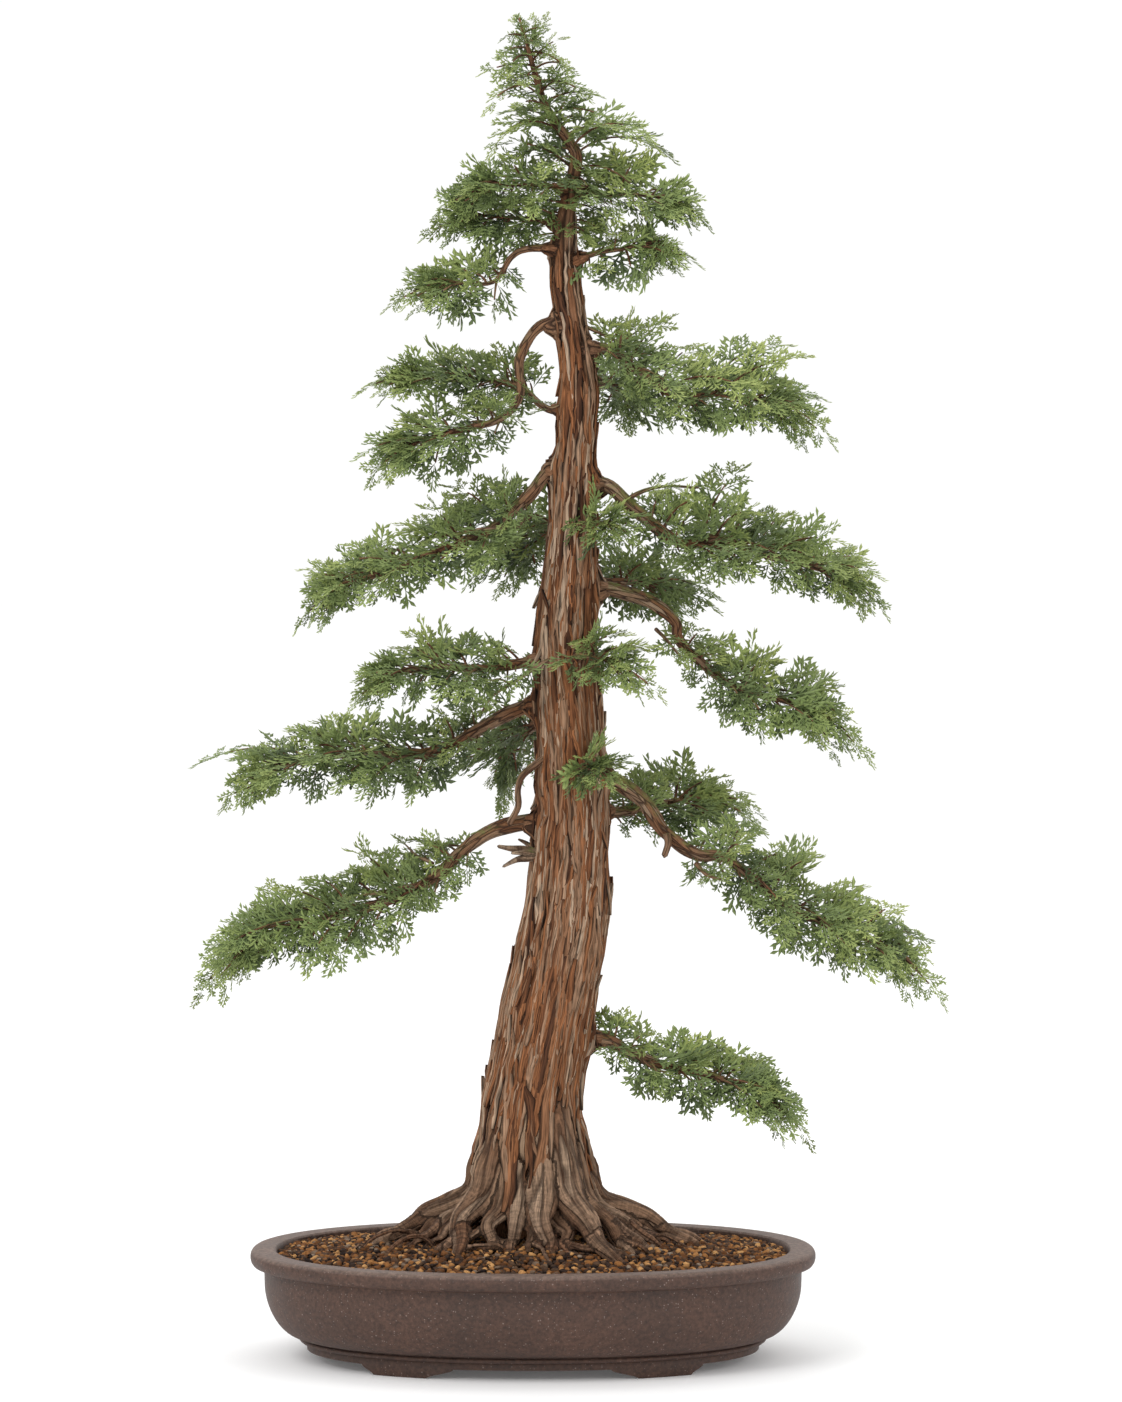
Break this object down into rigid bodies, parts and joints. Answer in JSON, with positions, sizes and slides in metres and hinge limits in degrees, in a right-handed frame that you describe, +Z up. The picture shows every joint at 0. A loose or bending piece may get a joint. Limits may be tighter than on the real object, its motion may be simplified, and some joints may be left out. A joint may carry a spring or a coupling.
{
  "type": "bonsai tree in a pot",
  "caption": "Juniper bonsai with shaggy bark, spreading surface roots and layered scale-leaf foliage pads, in a low oval stoneware pot on short feet.",
  "frame": {"origin": "centre of the whole object's box, on the plane that the pot's feet stand on", "axes": "+Z up along the tree, +X to the right as the front is seen, +Y to the back; the front faces -Y"},
  "size_m": [0.4678, 0.2746, 0.8081],
  "materials": {
    "stoneware": "unglazed matte",
    "soil_granules": "rough fired clay granules with dark bits",
    "screen_plastic": "matte",
    "screen_wire": "satin",
    "bark": "shaggy fibrous bark",
    "deadwood": "weathered bare wood",
    "foliage": "scale leaves, satin"
  },
  "bodies": {
    "root": {"pot": "stoneware", "soil_bed": "soil_granules", "drainage_screen_left": "screen_plastic", "drainage_screen_right": "screen_plastic", "screen_wire_left": "screen_wire", "screen_wire_right": "screen_wire", "trunk_and_roots": "bark", "dead_stub": "deadwood", "branch_left_1": "bark", "branch_left_2": "bark", "branch_left_3": "bark", "branch_left_4": "bark", "branch_left_5": "bark", "branch_left_6": "bark", "branch_left_7": "bark", "branch_left_8": "bark", "branch_left_9": "bark", "branch_right_1": "bark", "branch_right_2": "bark", "branch_right_3": "bark", "branch_right_4": "bark", "branch_right_5": "bark", "branch_right_6": "bark", "branch_right_7": "bark", "branch_back_1": "bark", "branch_back_2": "bark", "branch_back_3": "bark", "branch_back_4": "bark", "branch_back_5": "bark", "branch_front_1": "bark", "branch_front_2": "bark", "branch_front_3": "bark", "foliage_left_1": "foliage", "foliage_left_2": "foliage", "foliage_left_3": "foliage", "foliage_left_4": "foliage", "foliage_left_5": "foliage", "foliage_left_6": "foliage", "foliage_left_7": "foliage", "foliage_left_8": "foliage", "foliage_left_9": "foliage", "foliage_right_1": "foliage", "foliage_right_2": "foliage", "foliage_right_3": "foliage", "foliage_right_4": "foliage", "foliage_right_5": "foliage", "foliage_right_6": "foliage", "foliage_right_7": "foliage", "foliage_back_1": "foliage", "foliage_back_2": "foliage", "foliage_back_3": "foliage", "foliage_back_4": "foliage", "foliage_back_5": "foliage", "foliage_front_1": "foliage", "foliage_front_2": "foliage", "foliage_front_3": "foliage", "foliage_apex_lower": "foliage", "foliage_apex_upper": "foliage"}
  },
  "joints": []
}
